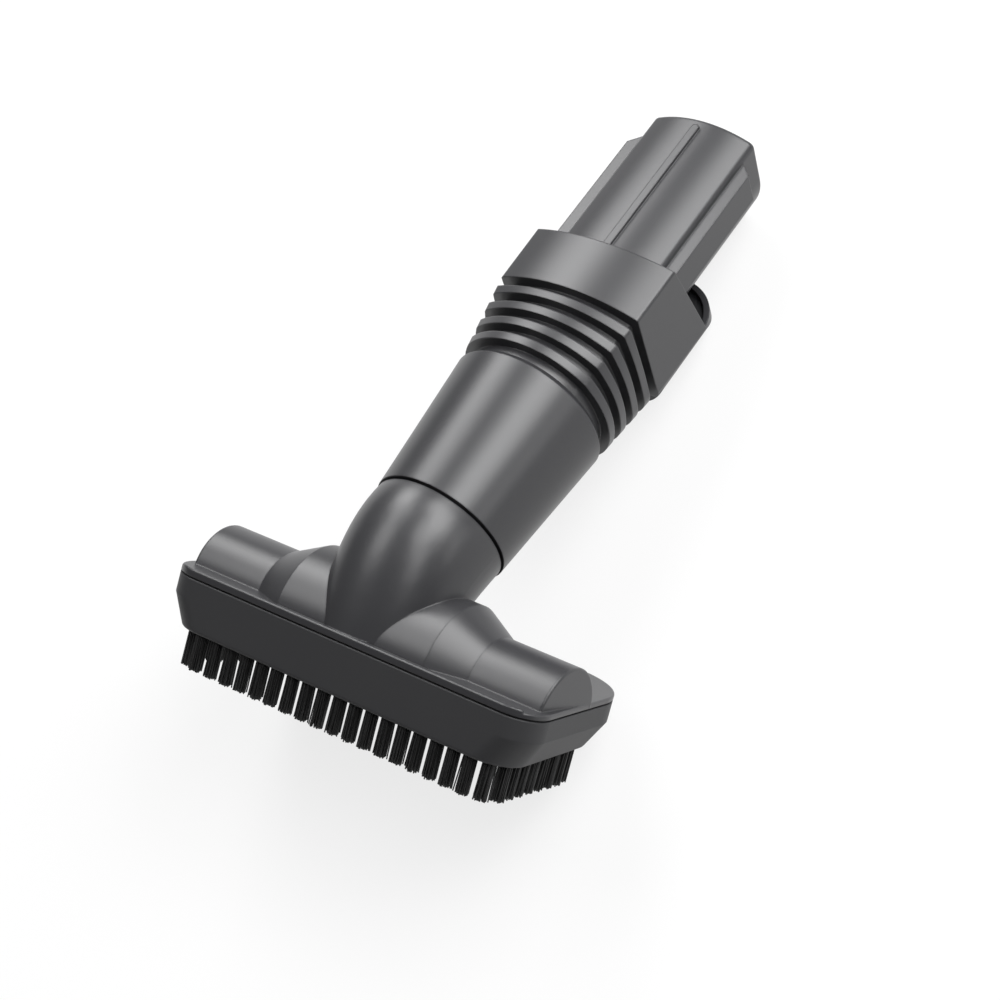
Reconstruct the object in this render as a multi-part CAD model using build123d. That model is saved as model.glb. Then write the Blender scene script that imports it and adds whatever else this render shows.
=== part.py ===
"""Dusting brush for a vacuum cleaner: bristled head, leaning tube and wand plug.

The pieces are drawn in the head's own frame (X along the head, Y to the rear, Z up from the
parting plane between housing and brush frame). The wand side is drawn in a second frame whose
Z is the tube axis and whose Y is the top of the plug. At the end the whole brush is laid down
the way it comes to rest on a table: on its rear row of tufts and the tip of its plug.
"""
import os
from math import atan2, cos, degrees, radians, sin

from build123d import *

# Brush head
HEAD_FRONT_HALF = 53.8
HEAD_REAR_HALF = 48.5
HEAD_FRONT_Y = -20.6
HEAD_REAR_Y = 33.6
HEAD_FRONT_CORNER = 8.0
HEAD_REAR_CORNER = 16.0
FLANGE_THICKNESS = 1.2
FLANGE_EDGE_ROUND = 0.4
LIP_HEIGHT = 1.8
LIP_WIDTH = 1.6
HOUSING_WALL = 2.0

# Half-cylinder housing on the flange
BARREL_END_STEP = 2.8
BARREL_AXIS_Y = -2.0
BARREL_AXIS_Z = -1.0
BARREL_RADIUS = 11.7
BARREL_END_ROUND = 0.6
SHOULDER_RADIUS = 16.4
SHOULDER_LENGTH = 42.8
CONE_LENGTH = 9.3

# Neck
TUBE_LEAN = 41.0
AXIS_FOOT_Y = -14.4
NECK_TOP = 34.7
NECK_RADIUS = 17.5
NECK_WAIST_HEIGHT = 19.0
NECK_WAIST_RADIUS = 16.8
NECK_FOOT_HALF_WIDTH = 15.5
NECK_FOOT_HALF_DEPTH = 15.5
NECK_FOOT_Y = -4.6
SPIGOT_LENGTH = 9.0
SPIGOT_CLEARANCE = 0.1

# Seam, tube and ribs
SEAM_GAP = 0.6
TUBE_LENGTH = 40.3
TUBE_FOOT_RADIUS = 17.9
TUBE_TOP_RADIUS = 20.8
TUBE_WALL = 2.0
TUBE_TOP_CHAMFER = 1.6
RIB_COUNT = 4
RIB_THICKNESS = 2.4
GROOVE_WIDTH = 2.75
GROOVE_DEPTH = 2.6

# Collar
COLLAR_SIDE_STEP = 0.6
COLLAR_CROWN = 19.4
COLLAR_SHOULDER = 15.0
COLLAR_UNDERSIDE = -13.6
COLLAR_CORNER_ROUND = 1.0
COLLAR_LOW_ROUND = 2.0
RIB_LOW_ROUND = 8.0
COLLAR_TOP_LENGTH = 16.2
COLLAR_FLARE = 0.25
COLLAR_RIM_SLANT = 13.0
COLLAR_WALL = 2.0
COLLAR_POCKET_FLOOR = 4.0

# Wand plug
PLUG_LENGTH = 49.1
PLUG_CROWN = 15.7
PLUG_SHOULDER = 12.0
PLUG_HALF_WIDTH = 14.8
PLUG_LOW_RADIUS = 14.6
PLUG_CORNER_ROUND = 2.0
PLUG_TIP_ROUND = 1.2
PLUG_BORE_RADIUS = 11.8
RAIL_HALF_WIDTH = 18.2
RAIL_TOP = 10.8
RAIL_BOTTOM = 2.3
RAIL_TIP_SETBACK = 5.6
RAIL_TIP_CHAMFER = 4.0
KEY_RIB_WIDTH = 2.0
KEY_RIB_HEIGHT = 0.8
KEY_RIB_SETBACK = 2.8
KEY_TIP_SHARE = 0.45

# Release catch under the collar
CATCH_WALL = 1.6
CATCH_UNDERSIDE = -18.2
CATCH_SIDE_SETBACK = 2.0
CATCH_SIDE_TOP = -14.8
CATCH_CORNER_ROUND = 3.2
CATCH_TONGUE = 14.2
CATCH_TIP_ROUND = 14.0
CATCH_FOOT_GAP = 0.8
CATCH_FOOT_ROUND = 5.0
HINGE_HEIGHT = 15.5
HINGE_DEPTH = -14.9
PIN_RADIUS = 0.8
PIN_CLEARANCE = 0.05
LUG_OFFSET = 9.0
LUG_WIDTH = 4.0
LUG_LENGTH = 4.6
LUG_GAP = 0.3
HUB_WIDTH = 3.0
HUB_CLEARANCE = 0.15
SPRING_HEIGHT = 6.0
SPRING_RADIUS = 1.7
SPRING_WIRE = 0.25
SPRING_TURNS = 3

# Brush frame
FRAME_HEIGHT = 12.8
FRAME_STRAIGHT = 5.5
FRAME_TAPER = 3.6
SOLE_FRONT_CORNER = 9.0
FRAME_LOW_ROUND = 0.9
TRAY_MARGIN = 4.4
TRAY_FLOOR = 4.0
SHADOW_GAP = 0.5
SHADOW_DEPTH = 0.9
MOUTH_LENGTH = 80.0
MOUTH_DEPTH = 14.5
MOUTH_CORNER = 4.0
RIM_HEIGHT = 2.0
RIM_WALL = 1.4

# Bristle tufts
TUFT_RADIUS = 1.75
TUFT_PITCH = 4.7
TUFT_LENGTH = 9.5
TUFT_SOCKET = 5.0
TUFT_FRONT_HALF = 45.6
TUFT_REAR_HALF = 43.0
TUFT_FRONT_Y = -17.2
TUFT_REAR_Y = 27.0
TUFT_FRONT_CORNER = 5.0
TUFT_REAR_CORNER = 12.0


# Sizes that follow from others
BARREL_LENGTH = 2 * (HEAD_FRONT_HALF - BARREL_END_STEP)
COLLAR_HALF_WIDTH = TUBE_TOP_RADIUS - COLLAR_SIDE_STEP

# Places along the tube axis, measured from the parting plane
SEAM_TOP = NECK_TOP + SEAM_GAP
TUBE_TOP = SEAM_TOP + TUBE_LENGTH
COLLAR_FOOT = TUBE_TOP + RIB_COUNT * RIB_THICKNESS + (RIB_COUNT + 1) * GROOVE_WIDTH
COLLAR_TOP = COLLAR_FOOT + COLLAR_TOP_LENGTH
RIM_SLOPE = sin(radians(COLLAR_RIM_SLANT)) / cos(radians(COLLAR_RIM_SLANT))
COLLAR_LOW_TOP = COLLAR_TOP + (COLLAR_CROWN - COLLAR_UNDERSIDE) * RIM_SLOPE
PLUG_TIP = COLLAR_TOP + PLUG_LENGTH
SOCKET_RADIUS = TUBE_FOOT_RADIUS - TUBE_WALL
SPIGOT_RADIUS = SOCKET_RADIUS - SPIGOT_CLEARANCE
DUCT_RADIUS = SPIGOT_RADIUS - HOUSING_WALL
CATCH_FLOOR = CATCH_UNDERSIDE + CATCH_WALL
HINGE_PLACE = COLLAR_FOOT + HINGE_HEIGHT
SPRING_PLACE = COLLAR_FOOT + SPRING_HEIGHT
TUFT_TIP = -FRAME_HEIGHT - TUFT_LENGTH
LARGE = 8 * HEAD_FRONT_HALF

LEAN = radians(TUBE_LEAN)
WAND = Plane(origin=(0, AXIS_FOOT_Y, 0), x_dir=(-1, 0, 0), z_dir=(0, sin(LEAN), cos(LEAN)))


def slab(low, high):
    """Wide plate between two heights, used to cut or keep a band."""
    return Pos(0, 0, (low + high) / 2) * Box(LARGE, LARGE, high - low)


def trapezoid(front_half, rear_half, front_y, rear_y, front_corner, rear_corner):
    """Plan that narrows to the rear, with its own corner round at the front and at the rear."""
    plan = make_face(
        Polyline(
            (-front_half, front_y),
            (front_half, front_y),
            (rear_half, rear_y),
            (-rear_half, rear_y),
            close=True,
        )
    )
    plan = fillet(plan.vertices().group_by(Axis.Y)[0], front_corner)
    return fillet(plan.vertices().group_by(Axis.Y)[-1], rear_corner)


def head_outline(inset, front_inset, front_corner):
    """Plan of the flange and frame, drawn in at the ends and rear and, apart, at the front."""
    return trapezoid(
        HEAD_FRONT_HALF - inset,
        HEAD_REAR_HALF - inset,
        HEAD_FRONT_Y + front_inset,
        HEAD_REAR_Y - inset,
        front_corner,
        HEAD_REAR_CORNER - inset,
    )


def barrel(wall, end_inset):
    """Turned housing body: two barrels, a cone each side and the taller middle."""
    half = BARREL_LENGTH / 2 - end_inset
    middle = SHOULDER_LENGTH / 2
    cone_end = middle + CONE_LENGTH
    thin = BARREL_RADIUS - wall
    tall = SHOULDER_RADIUS - wall
    profile = make_face(
        Polyline(
            (-half, 0),
            (-half, thin),
            (-cone_end, thin),
            (-middle, tall),
            (middle, tall),
            (cone_end, thin),
            (half, thin),
            (half, 0),
            close=True,
        )
    )
    return Pos(0, BARREL_AXIS_Y, BARREL_AXIS_Z) * revolve(profile, Axis.X)


def neck(wall):
    """Elbow from the front of the head up to the seam ring."""
    top = WAND * (Pos(0, 0, NECK_TOP) * Circle(NECK_RADIUS - wall))
    waist = WAND * (Pos(0, 0, NECK_WAIST_HEIGHT) * Circle(NECK_WAIST_RADIUS - wall))
    foot = Pos(0, NECK_FOOT_Y, 0) * Ellipse(NECK_FOOT_HALF_WIDTH - wall, NECK_FOOT_HALF_DEPTH - wall)
    return loft([foot, waist, top])


def make_housing():
    """Head housing: flange, barrels, cones, neck and the spigot that enters the tube."""
    flange = extrude(head_outline(0, 0, HEAD_FRONT_CORNER), FLANGE_THICKNESS)
    flange = fillet(flange.edges().group_by(Axis.Z)[-1], FLANGE_EDGE_ROUND)
    lip = extrude(head_outline(0, 0, HEAD_FRONT_CORNER), LIP_HEIGHT)
    lip = fillet(lip.edges().group_by(Axis.Z)[-1], FLANGE_EDGE_ROUND)
    flange += lip & (Pos(0, HEAD_FRONT_Y + LIP_WIDTH - LARGE / 2, 0) * Box(LARGE, LARGE, LARGE))
    shell = barrel(0, 0)
    ends = shell.edges().group_by(Axis.X)
    shell = fillet(list(ends[0]) + list(ends[-1]), BARREL_END_ROUND)
    body = flange + (shell & slab(0, LARGE / 2)) + neck(0)
    spigot_foot = NECK_TOP - HOUSING_WALL
    spigot_top = NECK_TOP + SEAM_GAP + SPIGOT_LENGTH
    spigot_span = spigot_top - spigot_foot
    spigot = WAND * (Pos(0, 0, spigot_foot + spigot_span / 2) * Cylinder(SPIGOT_RADIUS, spigot_span))
    duct = WAND * (Pos(0, 0, spigot_foot + spigot_span / 2) * Cylinder(DUCT_RADIUS, spigot_span))
    inside = barrel(HOUSING_WALL, HOUSING_WALL) + (neck(HOUSING_WALL) & slab(0, LARGE / 2))
    return body + spigot - inside - duct


def cornered(half_width, crown, shoulder, underside, corner_round, low_round):
    """Section with an arched top, crisp shoulders, flat sides and a flat underside."""
    outline = [
        ThreePointArc((-half_width, shoulder), (0, crown), (half_width, shoulder)),
        Polyline(
            (half_width, shoulder),
            (half_width, underside),
            (-half_width, underside),
            (-half_width, shoulder),
        ),
    ]
    face = make_face([edge for line in outline for edge in line.edges()])
    shoulders = [corner for corner in face.vertices() if corner.Y > 0]
    face = fillet(shoulders, corner_round)
    return fillet(face.vertices().group_by(Axis.Y)[0], low_round)


def collar_section(grow):
    """Collar section, grown or shrunk all round."""
    return cornered(
        COLLAR_HALF_WIDTH + grow,
        COLLAR_CROWN + grow,
        COLLAR_SHOULDER + grow,
        COLLAR_UNDERSIDE,
        COLLAR_CORNER_ROUND,
        COLLAR_LOW_ROUND,
    )


def rib_section(depth):
    """Full section at the collar end of the ribs, sunk by a groove's depth."""
    return cornered(
        COLLAR_HALF_WIDTH - depth,
        COLLAR_CROWN - depth,
        COLLAR_SHOULDER - depth,
        CATCH_FLOOR + depth,
        COLLAR_CORNER_ROUND,
        RIB_LOW_ROUND,
    )


def round_section(like, radius):
    """Circle divided at the same bearings as another section, so that a loft runs true."""
    arcs = []
    for edge in like.face().outer_wire().edges():
        bearings = [Vector(edge.position_at(t).X, edge.position_at(t).Y, 0) for t in (0, 0.5, 1)]
        arcs.append(ThreePointArc(*[bearing.normalized() * radius for bearing in bearings]))
    return make_face(arcs)


def rib_loft(depth):
    """Body that turns the round tube into the cornered collar."""
    upper = rib_section(depth)
    lower = round_section(upper, TUBE_TOP_RADIUS - depth)
    return loft([Pos(0, 0, TUBE_TOP) * lower, Pos(0, 0, COLLAR_FOOT) * upper])


def make_ribs():
    """Sunk core with its standing ribs."""
    envelope = rib_loft(0)
    ribs = rib_loft(GROOVE_DEPTH)
    for index in range(RIB_COUNT):
        low = TUBE_TOP + GROOVE_WIDTH + index * (GROOVE_WIDTH + RIB_THICKNESS)
        ribs += envelope & slab(low, low + RIB_THICKNESS)
    return ribs


def make_collar():
    """Flared collar with its slanted rim, hollowed round the plug for the wand's socket."""
    reach = COLLAR_LOW_TOP + COLLAR_FLARE
    tilt = radians(COLLAR_RIM_SLANT)
    rim = Plane(origin=(0, COLLAR_CROWN, COLLAR_TOP), z_dir=(0, sin(tilt), cos(tilt)))
    solid = loft([Pos(0, 0, COLLAR_FOOT) * collar_section(0), Pos(0, 0, reach) * collar_section(COLLAR_FLARE)])
    pocket_low = COLLAR_FOOT + COLLAR_POCKET_FLOOR
    pocket = extrude(Pos(0, 0, pocket_low) * collar_section(-COLLAR_WALL), reach - pocket_low)
    return split(solid, rim, Keep.BOTTOM) - (pocket & band_above(COLLAR_UNDERSIDE + COLLAR_WALL))


def band_above(level):
    """Everything above a level of the wand frame's Y."""
    return Pos(0, level + LARGE / 2, 0) * Box(LARGE, LARGE, LARGE)


def make_lugs():
    """Two lugs under the collar that carry the hinge pin."""
    low = CATCH_FLOOR + LUG_GAP
    height = COLLAR_UNDERSIDE - low
    lug = Box(LUG_WIDTH, height, LUG_LENGTH)
    return [Pos(side * LUG_OFFSET, low + height / 2, HINGE_PLACE) * lug for side in (-1, 1)]


def make_plug():
    """Wand plug: arched barrel, side rails and the key rib on top."""
    length = PLUG_TIP - COLLAR_FOOT
    outline = [
        ThreePointArc((-PLUG_HALF_WIDTH, PLUG_SHOULDER), (0, PLUG_CROWN), (PLUG_HALF_WIDTH, PLUG_SHOULDER)),
        Line((PLUG_HALF_WIDTH, PLUG_SHOULDER), (PLUG_LOW_RADIUS, 0)),
        ThreePointArc((PLUG_LOW_RADIUS, 0), (0, -PLUG_LOW_RADIUS), (-PLUG_LOW_RADIUS, 0)),
        Line((-PLUG_LOW_RADIUS, 0), (-PLUG_HALF_WIDTH, PLUG_SHOULDER)),
    ]
    face = make_face(outline)
    face = fillet(face.vertices().group_by(Axis.Y)[-1], PLUG_CORNER_ROUND)
    plug = extrude(Pos(0, 0, COLLAR_FOOT) * face, length)
    plug = fillet(plug.edges().group_by(Axis.Z)[-1], PLUG_TIP_ROUND)
    rail_length = length - RAIL_TIP_SETBACK
    rail_height = RAIL_TOP - RAIL_BOTTOM
    rails = Pos(0, RAIL_BOTTOM + rail_height / 2, COLLAR_FOOT + rail_length / 2) * Box(
        2 * RAIL_HALF_WIDTH, rail_height, rail_length
    )
    tips = rails.edges().filter_by(Axis.Y).group_by(Axis.Z)[-1]
    plug += chamfer(tips, RAIL_TIP_CHAMFER)
    key_length = length - KEY_RIB_SETBACK
    key_low = PLUG_SHOULDER
    key_height = PLUG_CROWN + KEY_RIB_HEIGHT - key_low
    key = Pos(0, key_low + key_height / 2, COLLAR_FOOT + key_length / 2) * Box(
        KEY_RIB_WIDTH, key_height, key_length
    )
    ends = key.edges().filter_by(Axis.Y).group_by(Axis.Z)[-1]
    return plug + fillet(ends, KEY_RIB_WIDTH * KEY_TIP_SHARE)


def make_connector():
    """One moulding: tube, ribs, collar and plug, bored through for the air."""
    tube = Pos(0, 0, SEAM_TOP + TUBE_LENGTH / 2) * Cone(TUBE_FOOT_RADIUS, TUBE_TOP_RADIUS, TUBE_LENGTH)
    tube = chamfer(tube.edges().group_by(Axis.Z)[-1], TUBE_TOP_CHAMFER)
    catch_room = slab(COLLAR_FOOT, COLLAR_LOW_TOP) - band_above(COLLAR_UNDERSIDE)
    body = tube + make_ribs() + make_collar() + make_plug() - catch_room + make_lugs()
    socket_top = SEAM_TOP + SPIGOT_LENGTH
    widest = TUBE_TOP_RADIUS - GROOVE_DEPTH - TUBE_WALL
    socket = Pos(0, 0, SEAM_TOP + SPIGOT_LENGTH / 2) * Cylinder(SOCKET_RADIUS, SPIGOT_LENGTH)
    throat = Pos(0, 0, (socket_top + TUBE_TOP) / 2) * Cone(DUCT_RADIUS, widest, TUBE_TOP - socket_top)
    waist = Pos(0, 0, (TUBE_TOP + COLLAR_FOOT) / 2) * Cone(widest, PLUG_BORE_RADIUS, COLLAR_FOOT - TUBE_TOP)
    bore = Pos(0, 0, (COLLAR_FOOT + PLUG_TIP) / 2) * Cylinder(PLUG_BORE_RADIUS, PLUG_TIP - COLLAR_FOOT)
    return body - socket - throat - waist - bore - pin_body(PIN_CLEARANCE)


def hub_offset():
    """Sideways place of the catch's hinge hubs, just outside the collar's lugs."""
    return LUG_OFFSET + LUG_WIDTH / 2 + LUG_GAP + HUB_WIDTH / 2


def pin_body(clearance):
    """Hinge pin, or its bore when given a clearance."""
    length = 2 * (hub_offset() + HUB_WIDTH / 2 + clearance)
    return Pos(0, HINGE_DEPTH, HINGE_PLACE) * Rot(0, 90, 0) * Cylinder(PIN_RADIUS + clearance, length)


def catch_block(inset):
    """Solid of the catch, or of its hollow: a section with round corners cut to a round-ended plan."""
    half = COLLAR_HALF_WIDTH - CATCH_SIDE_SETBACK - inset
    low = COLLAR_FOOT + CATCH_FOOT_GAP + inset
    high = COLLAR_LOW_TOP + CATCH_TONGUE - inset
    bottom = CATCH_UNDERSIDE + inset
    top = CATCH_SIDE_TOP + inset
    section = Pos(0, (bottom + top) / 2) * Rectangle(2 * half, top - bottom)
    section = fillet(section.vertices().group_by(Axis.Y)[0], CATCH_CORNER_ROUND - inset)
    bar = extrude(Pos(0, 0, low) * section, high - low)
    plan = Pos(0, (low + high) / 2) * Rectangle(2 * half, high - low)
    plan = fillet(plan.vertices().group_by(Axis.Y)[-1], CATCH_TIP_ROUND - inset)
    plan = fillet(plan.vertices().group_by(Axis.Y)[0], CATCH_FOOT_ROUND - inset)
    cutter = Plane.XZ.offset(-LARGE / 2) * plan
    return bar & extrude(cutter, LARGE)


def make_catch():
    """Release catch: a tray under the collar with its tongue along the plug, and two hinge hubs."""
    catch = catch_block(0) - catch_block(CATCH_WALL)
    hub_radius = COLLAR_UNDERSIDE - HINGE_DEPTH - HUB_CLEARANCE
    for side in (-1, 1):
        place = Pos(side * hub_offset(), HINGE_DEPTH, HINGE_PLACE)
        foot = HINGE_DEPTH - CATCH_FLOOR
        catch += place * Rot(0, 90, 0) * Cylinder(hub_radius, HUB_WIDTH)
        catch += place * Pos(0, -foot / 2, 0) * Box(HUB_WIDTH, foot, 2 * hub_radius)
    return catch - pin_body(PIN_CLEARANCE)


def make_spring():
    """Coil that pushes the foot of the catch away from the collar."""
    span = COLLAR_UNDERSIDE - CATCH_FLOOR - 2 * SPRING_WIRE
    coil = Helix(span / SPRING_TURNS, span, SPRING_RADIUS)
    wire = Plane(origin=coil @ 0, z_dir=coil % 0) * Circle(SPRING_WIRE)
    spring = sweep(wire, path=coil)
    return Pos(0, CATCH_FLOOR + SPRING_WIRE, SPRING_PLACE) * Rot(-90, 0, 0) * spring


def tuft_path(inset):
    """Closed loop on which the tufts stand, or a loop drawn in from it."""
    plan = trapezoid(
        TUFT_FRONT_HALF - inset,
        TUFT_REAR_HALF - inset,
        TUFT_FRONT_Y + inset,
        TUFT_REAR_Y - inset,
        TUFT_FRONT_CORNER,
        TUFT_REAR_CORNER - inset,
    )
    return plan.face().outer_wire()


def make_tufts():
    """Round tufts at an even pitch round the loop, each sunk in its socket."""
    loop = tuft_path(0)
    count = round(loop.length / TUFT_PITCH)
    height = TUFT_LENGTH + TUFT_SOCKET
    tufts = []
    for index in range(count):
        spot = loop.position_at(index / count)
        tufts.append(Pos(spot.X, spot.Y, TUFT_TIP + height / 2) * Cylinder(TUFT_RADIUS, height))
    return tufts


def make_frame(tufts):
    """Brush frame: tapered tray with the suction mouth, the locating rim and the tuft sockets."""
    upper = extrude(head_outline(0, 0, HEAD_FRONT_CORNER), -FRAME_STRAIGHT)
    waist = Pos(0, 0, -FRAME_STRAIGHT) * head_outline(0, 0, HEAD_FRONT_CORNER)
    sole = Pos(0, 0, -FRAME_HEIGHT) * head_outline(FRAME_TAPER, 0, SOLE_FRONT_CORNER)
    lower = loft([waist, sole])
    lower = fillet(lower.edges().group_by(Axis.Z)[0], FRAME_LOW_ROUND)
    inner = head_outline(SHADOW_DEPTH, SHADOW_DEPTH, HEAD_FRONT_CORNER - SHADOW_DEPTH)
    step = extrude(head_outline(0, 0, HEAD_FRONT_CORNER), -SHADOW_GAP) - extrude(inner, -SHADOW_GAP)
    tray = Pos(0, 0, -FRAME_HEIGHT) * extrude(make_face(tuft_path(TRAY_MARGIN)), FRAME_HEIGHT - TRAY_FLOOR)
    mouth = RectangleRounded(MOUTH_LENGTH, MOUTH_DEPTH, MOUTH_CORNER)
    rim = RectangleRounded(MOUTH_LENGTH + 2 * RIM_WALL, MOUTH_DEPTH + 2 * RIM_WALL, MOUTH_CORNER + RIM_WALL)
    place = Pos(0, BARREL_AXIS_Y, -TRAY_FLOOR)
    frame = upper + lower - step - tray + place * extrude(rim, TRAY_FLOOR + RIM_HEIGHT)
    return frame - place * extrude(mouth, TRAY_FLOOR + RIM_HEIGHT) - tufts


def rest_location(pieces):
    """Turn and shift that lay the brush on its rear tufts and the tip of its plug."""
    tip_y = AXIS_FOOT_Y + PLUG_TIP * sin(LEAN) + PLUG_LOW_RADIUS * cos(LEAN)
    tip_z = PLUG_TIP * cos(LEAN) - PLUG_LOW_RADIUS * sin(LEAN)
    turn = degrees(atan2(tip_z - TUFT_TIP, tip_y - TUFT_REAR_Y - TUFT_RADIUS))
    tilt = Rot(-turn, 0, 0)
    box = Compound([tilt * piece for piece in pieces]).bounding_box()
    return Pos(0, -(box.min.Y + box.max.Y) / 2, -box.min.Z) * tilt


def main():
    """Build every piece, lay the brush down and write one file for each."""
    tufts = make_tufts()
    nodes = {
        "head_housing": make_housing(),
        "brush_frame": make_frame(tufts),
        "bristle_tufts": Compound(tufts),
        "wand_connector": WAND.location * make_connector(),
        "release_catch": WAND.location * make_catch(),
        "catch_pin": WAND.location * pin_body(0),
        "catch_spring": WAND.location * make_spring(),
    }
    rest = rest_location(list(nodes.values()))
    os.makedirs("parts", exist_ok=True)
    for name, piece in nodes.items():
        export_step(rest * piece, f"parts/{name}.step")


main()
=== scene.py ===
"""Dresses the vacuum dusting brush: satin plastic, bristle filaments, studio light and camera."""
import logging
import math
import random
from dataclasses import dataclass, field
from enum import Enum
from typing import Any

import bmesh
import bpy
import numpy as np
from mathutils import Matrix, Vector


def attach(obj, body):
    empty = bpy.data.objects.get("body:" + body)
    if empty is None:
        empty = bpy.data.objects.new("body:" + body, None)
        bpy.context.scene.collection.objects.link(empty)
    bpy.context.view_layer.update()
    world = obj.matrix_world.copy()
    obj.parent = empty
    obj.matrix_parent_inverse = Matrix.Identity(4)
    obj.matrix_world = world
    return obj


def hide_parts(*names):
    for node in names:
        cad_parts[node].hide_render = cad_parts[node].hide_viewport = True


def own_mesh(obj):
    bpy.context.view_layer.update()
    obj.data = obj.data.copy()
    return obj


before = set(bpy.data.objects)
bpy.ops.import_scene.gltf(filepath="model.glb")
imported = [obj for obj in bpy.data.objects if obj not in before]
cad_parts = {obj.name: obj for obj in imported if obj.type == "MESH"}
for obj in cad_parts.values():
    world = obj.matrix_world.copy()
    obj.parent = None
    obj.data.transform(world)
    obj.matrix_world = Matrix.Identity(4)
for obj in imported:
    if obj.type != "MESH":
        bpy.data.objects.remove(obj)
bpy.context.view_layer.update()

LOG = logging.getLogger("dusting_brush")
MM = 0.001
IMAGE_PIXELS = 1000
SENSOR_MM = 36.0
WHITE = (1.0, 1.0, 1.0, 1.0)
BRUSH_BODY = "brush"


class WhiteRay(Enum):
    """Rays that see the floor as a plain white background, by their socket of Light Path."""

    CAMERA = "Is Camera Ray"
    GLOSSY = "Is Glossy Ray"
    TRANSMISSION = "Is Transmission Ray"


def linear(code: str) -> tuple[float, float, float, float]:
    """Turns an sRGB hex colour to linear light.

    Args:
        code: Colour such as "#58585a".

    Returns:
        Linear red, green, blue and an alpha of one.
    """
    channels = [int(code[i:i + 2], 16) / 255 for i in (1, 3, 5)]
    toned = [c / 12.92 if c <= 0.04045 else ((c + 0.055) / 1.055) ** 2.4 for c in channels]
    return (toned[0], toned[1], toned[2], 1.0)


def add_node(
    tree: bpy.types.NodeTree, kind: str, links: dict[str | int, Any] | None = None, **settings: Any
) -> bpy.types.Node:
    """Adds one node with its settings and links.

    Args:
        tree: Node tree to add to.
        kind: Blender's type name of the node.
        links: Input name or index to an output socket, or to a plain value.
        settings: Properties of the node itself.

    Returns:
        The new node.
    """
    node = tree.nodes.new(kind)
    for name, value in settings.items():
        setattr(node, name, value)
    for key, value in (links or {}).items():
        if isinstance(value, bpy.types.NodeSocket):
            tree.links.new(value, node.inputs[key])
        else:
            node.inputs[key].default_value = value
    return node


@dataclass(frozen=True)
class MouldedPlastic:
    """Injection-moulded plastic: an even colour under a fine spark-eroded grain.

    The grain spreads the highlight into a soft satin band, a broad drift in tone keeps large
    faces from looking like paint, and the small round that a mould leaves on every edge catches
    a thin line of light.
    """

    name: str
    colour: str
    shade: str
    roughness: float
    roughness_drift: float
    grain_mm: float
    grain_depth_mm: float
    drift_mm: float
    ior: float
    grain_detail: float = 3.0
    drift_detail: float = 2.0
    edge_round_mm: float = 0.5
    edge_samples: int = 6

    def material(self) -> bpy.types.Material:
        """Builds the material.

        Returns:
            A node material that reads Object coordinates.
        """
        made = bpy.data.materials.new(self.name)
        made.use_nodes = True
        tree = made.node_tree
        tree.nodes.clear()
        coords = add_node(tree, "ShaderNodeTexCoord").outputs["Object"]
        grain = add_node(tree, "ShaderNodeTexNoise", {
            "Vector": coords, "Scale": 1 / (self.grain_mm * MM), "Detail": self.grain_detail})
        drift = add_node(tree, "ShaderNodeTexNoise", {
            "Vector": coords, "Scale": 1 / (self.drift_mm * MM), "Detail": self.drift_detail})
        tones = {"Factor": drift.outputs["Fac"], "A": linear(self.colour), "B": linear(self.shade)}
        tone = add_node(tree, "ShaderNodeMix", tones, data_type="RGBA")
        low = self.roughness - self.roughness_drift
        high = self.roughness + self.roughness_drift
        rough = add_node(tree, "ShaderNodeMapRange", {
            "Value": grain.outputs["Fac"], "To Min": low, "To Max": high})
        edge = add_node(
            tree, "ShaderNodeBevel", {"Radius": self.edge_round_mm * MM}, samples=self.edge_samples)
        bump = add_node(tree, "ShaderNodeBump", {
            "Height": grain.outputs["Fac"], "Strength": 1.0, "Distance": self.grain_depth_mm * MM,
            "Normal": edge.outputs["Normal"]})
        shader = add_node(tree, "ShaderNodeBsdfPrincipled", {
            "Base Color": tone.outputs["Result"], "Roughness": rough.outputs["Result"],
            "Normal": bump.outputs["Normal"], "IOR": self.ior})
        add_node(tree, "ShaderNodeOutputMaterial", {"Surface": shader.outputs["BSDF"]})
        return made


@dataclass(frozen=True)
class NylonFilament:
    """Extruded black nylon: each filament has a dull sheen, and tones differ a little."""

    name: str = "extruded_black_nylon"
    dark: str = "#070707"
    light: str = "#111112"
    roughness: float = 0.6
    tone_mm: float = 1.2
    ior: float = 1.53

    def material(self) -> bpy.types.Material:
        """Builds the material.

        Returns:
            A node material that reads Object coordinates.
        """
        made = bpy.data.materials.new(self.name)
        made.use_nodes = True
        tree = made.node_tree
        tree.nodes.clear()
        coords = add_node(tree, "ShaderNodeTexCoord").outputs["Object"]
        noise = add_node(tree, "ShaderNodeTexNoise", {"Vector": coords, "Scale": 1 / (self.tone_mm * MM)})
        tones = {"Factor": noise.outputs["Fac"], "A": linear(self.dark), "B": linear(self.light)}
        colour = add_node(tree, "ShaderNodeMix", tones, data_type="RGBA")
        shader = add_node(tree, "ShaderNodeBsdfPrincipled", {
            "Base Color": colour.outputs["Result"], "Roughness": self.roughness, "IOR": self.ior})
        add_node(tree, "ShaderNodeOutputMaterial", {"Surface": shader.outputs["BSDF"]})
        return made


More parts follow.
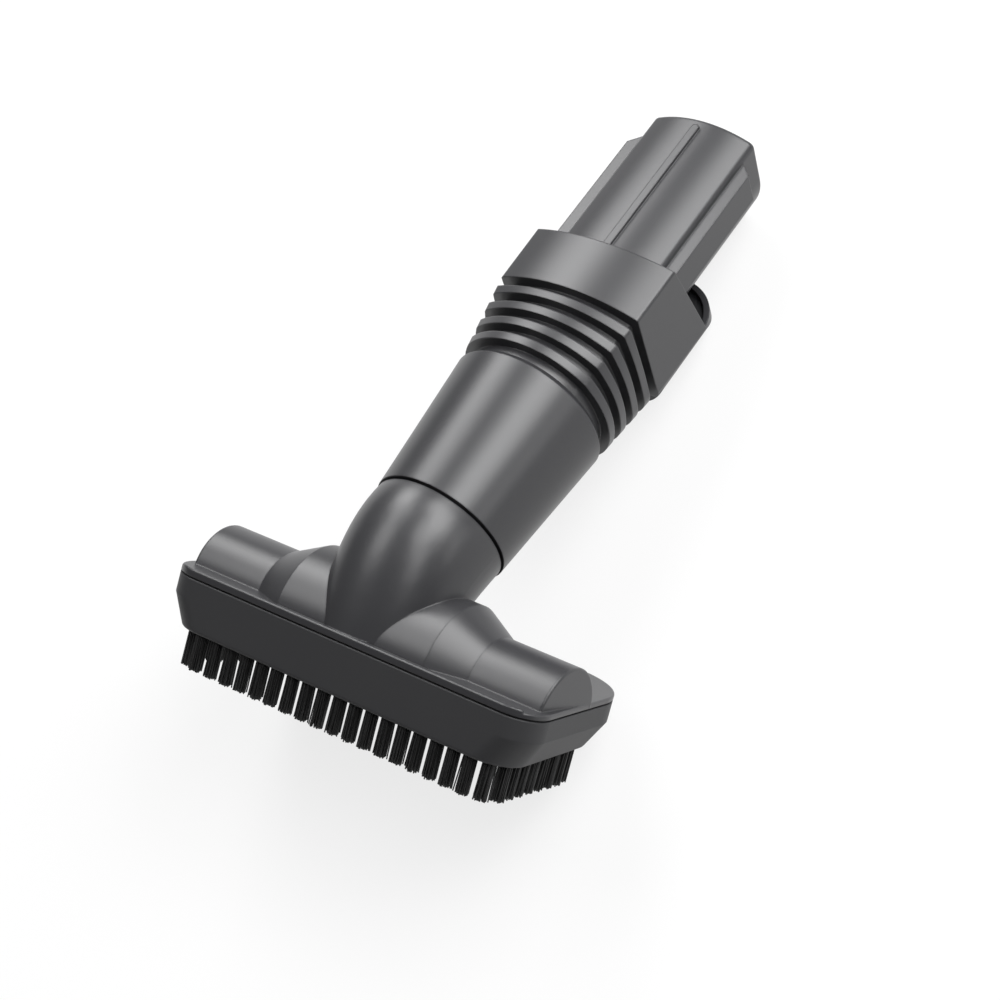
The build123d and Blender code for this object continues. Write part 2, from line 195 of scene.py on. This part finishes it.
@dataclass(frozen=True)
class DrawnSteel:
    """Cold-drawn steel wire: bright, with faint lines left by the die."""

    name: str = "drawn_steel_wire"
    colour: str = "#b4b4b2"
    roughness: float = 0.3
    roughness_drift: float = 0.09
    line_mm: float = 0.25

    def material(self) -> bpy.types.Material:
        """Builds the material.

        Returns:
            A node material that reads Object coordinates.
        """
        made = bpy.data.materials.new(self.name)
        made.use_nodes = True
        tree = made.node_tree
        tree.nodes.clear()
        coords = add_node(tree, "ShaderNodeTexCoord").outputs["Object"]
        lines = add_node(tree, "ShaderNodeTexNoise", {"Vector": coords, "Scale": 1 / (self.line_mm * MM)})
        low = self.roughness - self.roughness_drift
        high = self.roughness + self.roughness_drift
        rough = add_node(tree, "ShaderNodeMapRange", {
            "Value": lines.outputs["Fac"], "To Min": low, "To Max": high})
        shader = add_node(tree, "ShaderNodeBsdfPrincipled", {
            "Base Color": linear(self.colour), "Metallic": 1.0, "Roughness": rough.outputs["Result"]})
        add_node(tree, "ShaderNodeOutputMaterial", {"Surface": shader.outputs["BSDF"]})
        return made


BODY_ABS = MouldedPlastic(
    name="moulded_satin_abs", colour="#29292b", shade="#2d2d2f", roughness=0.35,
    roughness_drift=0.03, grain_mm=0.35, grain_depth_mm=0.002, drift_mm=40.0, ior=1.48)
FRAME_PP = MouldedPlastic(
    name="moulded_matt_polypropylene", colour="#28282a", shade="#2c2c2d", roughness=0.55,
    roughness_drift=0.05, grain_mm=0.3, grain_depth_mm=0.004, drift_mm=30.0, ior=1.4)


@dataclass
class Mouldings:
    """The CAD nodes that keep their shape and take a finish."""

    finishes: dict[str, MouldedPlastic | DrawnSteel] = field(default_factory=lambda: {
        "head_housing": BODY_ABS,
        "wand_connector": BODY_ABS,
        "release_catch": BODY_ABS,
        "brush_frame": FRAME_PP,
        "catch_pin": DrawnSteel(),
        "catch_spring": DrawnSteel(),
    })

    def dress(self) -> None:
        """Gives each node its material, one material for each finish."""
        made: dict[str, bpy.types.Material] = {}
        for node, finish in self.finishes.items():
            if finish.name not in made:
                made[finish.name] = finish.material()
            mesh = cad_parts[node].data
            mesh.materials.clear()
            mesh.materials.append(made[finish.name])
            LOG.info("%s takes %s", node, finish.name)


@dataclass
class CatchSpring:
    """Coil that shortens between the catch's floor and the collar as the catch turns."""

    joint: str = "catch_press"
    axis: tuple[float, float, float] = (0.0, 0.20866, 0.97799)
    seat_mm: tuple[float, float, float] = (0.0, 28.816, 13.352)
    pressed_share: float = 0.68

    def follow(self) -> None:
        """Gives the coil a mesh of its own, which keeps its full length."""
        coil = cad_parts["catch_spring"]
        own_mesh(coil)
        LOG.info("catch_spring shortens to %.2f of its length with %s", self.pressed_share, self.joint)


@dataclass
class BristleTufts:
    """Tufts of nylon filament in place of the plain rods of the CAD model."""

    filaments: int = 80
    filament_radius_mm: float = 0.21
    tip_radius_share: float = 0.8
    sides: int = 5
    spread_at_root: float = 1.0
    spread_across_row: float = 0.94
    spread_along_row: float = 1.1
    tip_scatter_mm: float = 0.9
    stray_share: float = 0.25
    stray_mm: float = 0.4
    variants: int = 5
    merge_mm: float = 0.001
    seed: int = 7

    def rods(self) -> list[tuple[Vector, Vector, float]]:
        """Finds the CAD rods.

        Returns:
            Root centre, tip centre and radius of each rod, in metres.
        """
        copy = bmesh.new()
        copy.from_mesh(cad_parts["bristle_tufts"].data)
        bmesh.ops.remove_doubles(copy, verts=copy.verts, dist=self.merge_mm * MM)
        unseen = set(copy.verts)
        found = []
        while unseen:
            island = [unseen.pop()]
            for vert in island:
                for edge in vert.link_edges:
                    other = edge.other_vert(vert)
                    if other in unseen:
                        unseen.remove(other)
                        island.append(other)
            found.append(self.measure(np.array([vert.co for vert in island])))
        copy.free()
        return sorted(found, key=lambda rod: (rod[0].x, rod[0].y))

    def measure(self, points: np.ndarray) -> tuple[Vector, Vector, float]:
        """Reads one rod's ends and radius from its vertices.

        Args:
            points: Vertices of the rod.

        Returns:
            Root centre, tip centre and radius.
        """
        centre = (points.min(0) + points.max(0)) / 2
        axis = np.linalg.svd(points - points.mean(0))[2][0]
        axis = axis if axis[2] < 0 else -axis
        along = (points - centre) @ axis
        across = points - centre - np.outer(along, axis)
        radius = float(np.linalg.norm(across, axis=1).max())
        return Vector(centre + axis * along.min()), Vector(centre + axis * along.max()), radius

    def template(self, length: float, radius: float, rng: random.Random) -> bpy.types.Mesh:
        """Makes one tuft that stands on its root along Z, fanned out along X, its row.

        Args:
            length: Length of the tuft in metres.
            radius: Radius of the tuft in metres.
            rng: Source of the scatter.

        Returns:
            Mesh of all its filaments.
        """
        tuft = bmesh.new()
        golden = math.pi * (3 - math.sqrt(5))
        thick = self.filament_radius_mm * MM
        for index in range(self.filaments):
            turn = index * golden
            out = math.sqrt((index + 0.5) / self.filaments) * (radius - thick)
            side = Vector((math.cos(turn), math.sin(turn), 0))
            jitter = Vector((rng.uniform(-1, 1), rng.uniform(-1, 1), 0)) * thick
            root = side * out * self.spread_at_root
            fan = Vector((side.x * self.spread_along_row, side.y * self.spread_across_row, 0))
            tip = fan * out + jitter
            if rng.random() < self.stray_share:
                tip.x += rng.uniform(-1, 1) * self.stray_mm * MM
            tip.z = length - rng.random() ** 2 * self.tip_scatter_mm * MM
            lean = (tip - root).to_track_quat("Z", "Y").to_matrix().to_4x4()
            place = Matrix.Translation((root + tip) / 2) @ lean
            bmesh.ops.create_cone(
                tuft, cap_ends=True, cap_tris=False, segments=self.sides, radius1=thick,
                radius2=thick * self.tip_radius_share, depth=(tip - root).length, matrix=place)
        mesh = bpy.data.meshes.new("tuft_template")
        tuft.to_mesh(mesh)
        tuft.free()
        return mesh

    def stand(self, root: Vector, tip: Vector, roots: list[Vector]) -> Matrix:
        """Turns a template to its rod, with X along the row.

        Args:
            root: Root centre of the rod.
            tip: Tip centre of the rod.
            roots: Root centres of all rods.

        Returns:
            Rotation from the template to the rod.
        """
        _, nearest, second = sorted(roots, key=lambda other: (other - root).length)[:3]
        along = (tip - root).normalized()
        across = along.cross(second - nearest).normalized()
        return Matrix((across.cross(along), across, along)).transposed().to_4x4()

    def build(self) -> bpy.types.Object:
        """Builds all tufts as one piece.

        Returns:
            The piece, riding on the brush.
        """
        rng = random.Random(self.seed)
        rods = self.rods()
        root, tip, radius = rods[0]
        length = (tip - root).length
        templates = [self.template(length, radius, rng) for _ in range(self.variants)]
        whole = bmesh.new()
        for index, (root, tip, _) in enumerate(rods):
            known = len(whole.verts)
            whole.from_mesh(templates[index % self.variants])
            whole.verts.ensure_lookup_table()
            turn = self.stand(root, tip, [other for other, _, _ in rods])
            flip = Matrix.Rotation(rng.choice((0.0, math.pi)), 4, "Z")
            place = Matrix.Translation(root) @ turn @ flip
            bmesh.ops.transform(whole, matrix=place, verts=whole.verts[known:])
        for face in whole.faces:
            face.smooth = len(face.verts) != self.sides
        mesh = bpy.data.meshes.new("bristle_filaments")
        whole.to_mesh(mesh)
        whole.free()
        for template in templates:
            bpy.data.meshes.remove(template)
        mesh.materials.append(NylonFilament().material())
        piece = bpy.data.objects.new("bristle_filaments", mesh)
        bpy.context.collection.objects.link(piece)
        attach(piece, BRUSH_BODY)
        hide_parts("bristle_tufts")
        LOG.info("%d tufts of %d filaments", len(rods), self.filaments)
        return piece


@dataclass
class Camera:
    """Camera at the photograph's viewing angle."""

    azimuth: float = 61.723
    elevation: float = 55.893
    roll: float = 36.289
    distance_mm: float = 606.9
    focal_pixels: float = 2479.8
    target_mm: tuple[float, float, float] = (0.0, -13.761, 24.962)
    shift_pixels: tuple[float, float] = (-8.71, -21.62)
    clip_start_mm: float = 10.0

    def axes(self) -> tuple[Vector, Vector, Vector]:
        """Works out the camera's right, up and backward directions.

        Returns:
            Three unit vectors in the row frame.
        """
        azimuth, elevation, roll = (math.radians(v) for v in (self.azimuth, self.elevation, self.roll))
        flat = math.cos(elevation)
        back = Vector((math.sin(azimuth) * flat, -math.cos(azimuth) * flat, math.sin(elevation)))
        level = (-back).cross(Vector((0, 0, 1))).normalized()
        above = level.cross(-back)
        up = above * math.cos(roll) + level * math.sin(roll)
        return up.cross(back), up, back

    def build(self) -> None:
        """Makes the camera and sets it as the scene's own."""
        right, up, back = self.axes()
        data = bpy.data.cameras.new("photo_camera")
        data.sensor_width = SENSOR_MM
        data.lens = SENSOR_MM * self.focal_pixels / IMAGE_PIXELS
        data.shift_x, data.shift_y = (pixels / IMAGE_PIXELS for pixels in self.shift_pixels)
        data.clip_start = self.clip_start_mm * MM
        camera = bpy.data.objects.new("photo_camera", data)
        place = Vector(self.target_mm) * MM + back * self.distance_mm * MM
        turn = Matrix((right, up, back)).transposed().to_4x4()
        camera.matrix_world = Matrix.Translation(place) @ turn
        bpy.context.collection.objects.link(camera)
        bpy.context.scene.camera = camera


@dataclass
class Softbox:
    """One rectangular area lamp that looks at a point of the brush."""

    name: str
    place_mm: tuple[float, float, float]
    aim_mm: tuple[float, float, float]
    size_mm: tuple[float, float]
    watts: float

    def build(self) -> None:
        """Makes the lamp."""
        data = bpy.data.lights.new(self.name, "AREA")
        data.shape = "RECTANGLE"
        data.size, data.size_y = (side * MM for side in self.size_mm)
        data.energy = self.watts
        lamp = bpy.data.objects.new(self.name, data)
        place = Vector(self.place_mm) * MM
        aim = (Vector(self.aim_mm) * MM - place).to_track_quat("-Z", "Y").to_matrix().to_4x4()
        lamp.matrix_world = Matrix.Translation(place) @ aim
        bpy.context.collection.objects.link(lamp)


@dataclass
class Studio:
    """Pale floor, even sky and soft lamps."""

    floor_half_mm: float = 3000.0
    floor_colour: str = "#cecece"
    floor_white_share: float = 0.8
    sky_strength: float = 0.1
    lamps: list[Softbox] = field(default_factory=lambda: [
        Softbox("right_softbox", (335.0, 488.0, 577.0), (0.0, 10.0, 33.0), (720.0, 360.0), 8.6),
        Softbox("top_softbox", (296.0, 184.0, 739.0), (0.0, -40.0, 35.0), (300.0, 300.0), 2.4),
        Softbox("left_softbox", (-384.0, 346.0, 627.0), (0.0, -30.0, 35.0), (350.0, 450.0), 3.4),
        Softbox("head_softbox", (-395.0, -25.0, 734.0), (0.0, -65.0, 38.0), (300.0, 300.0), 1.8),
        Softbox("rear_softbox", (-460.0, 560.0, 460.0), (0.0, 60.0, 28.0), (340.0, 360.0), 2.6),
        Softbox("low_softbox", (742.0, 259.0, 225.0), (0.0, -20.0, 45.0), (300.0, 200.0), 0.8),
        Softbox("neck_softbox", (469.0, -55.0, 713.0), (0.0, -50.0, 50.0), (220.0, 220.0), 1.0),
    ])

    def white_share(self, tree: bpy.types.NodeTree) -> bpy.types.NodeSocket:
        """Counts the rays that meet the floor as a plain white background.

        Args:
            tree: Node tree to add to.

        Returns:
            Socket with the share of plain white, for camera, glossy and transmission rays only.
        """
        path = add_node(tree, "ShaderNodeLightPath").outputs
        seen = path[WhiteRay.CAMERA.value]
        for ray in (WhiteRay.GLOSSY, WhiteRay.TRANSMISSION):
            either = add_node(tree, "ShaderNodeMath", {0: seen, 1: path[ray.value]}, operation="MAXIMUM")
            seen = either.outputs[0]
        share = add_node(tree, "ShaderNodeMath", {0: seen, 1: self.floor_white_share}, operation="MULTIPLY")
        return share.outputs[0]

    def build_world(self) -> None:
        """Makes an even, dim sky."""
        world = bpy.data.worlds.new("studio_sky")
        bpy.context.scene.world = world
        world.use_nodes = True
        tree = world.node_tree
        tree.nodes.clear()
        light = add_node(tree, "ShaderNodeBackground", {
            "Color": WHITE, "Strength": self.sky_strength})
        add_node(tree, "ShaderNodeOutputWorld", {"Surface": light.outputs[0]})

    def floor_material(self) -> bpy.types.Material:
        """Makes white paper: part plain white to the eye, part matt, so that a shadow still shows.

        Returns:
            The floor's material.
        """
        paper = bpy.data.materials.new("matt_white_paper")
        paper.use_nodes = True
        tree = paper.node_tree
        tree.nodes.clear()
        matt = add_node(tree, "ShaderNodeBsdfDiffuse", {"Color": linear(self.floor_colour)})
        plain = add_node(tree, "ShaderNodeEmission", {"Color": WHITE, "Strength": 1.0})
        mixed = add_node(tree, "ShaderNodeMixShader", {
            0: self.white_share(tree), 1: matt.outputs[0], 2: plain.outputs[0]})
        add_node(tree, "ShaderNodeOutputMaterial", {"Surface": mixed.outputs[0]})
        return paper

    def build_floor(self) -> None:
        """Makes the floor the brush lies on."""
        plane = bmesh.new()
        bmesh.ops.create_grid(plane, x_segments=1, y_segments=1, size=self.floor_half_mm * MM)
        mesh = bpy.data.meshes.new("studio_floor")
        plane.to_mesh(mesh)
        plane.free()
        mesh.materials.append(self.floor_material())
        floor = bpy.data.objects.new("studio_floor", mesh)
        bpy.context.collection.objects.link(floor)

    def build(self) -> None:
        """Makes sky, floor and lamps."""
        self.build_world()
        self.build_floor()
        for lamp in self.lamps:
            lamp.build()


def main() -> None:
    """Builds the scene in order."""
    logging.basicConfig(level=logging.INFO)
    bpy.context.scene.view_settings.view_transform = "Standard"
    Camera().build()
    Mouldings().dress()
    CatchSpring().follow()
    BristleTufts().build()
    Studio().build()


if __name__ == "__main__":
    main()
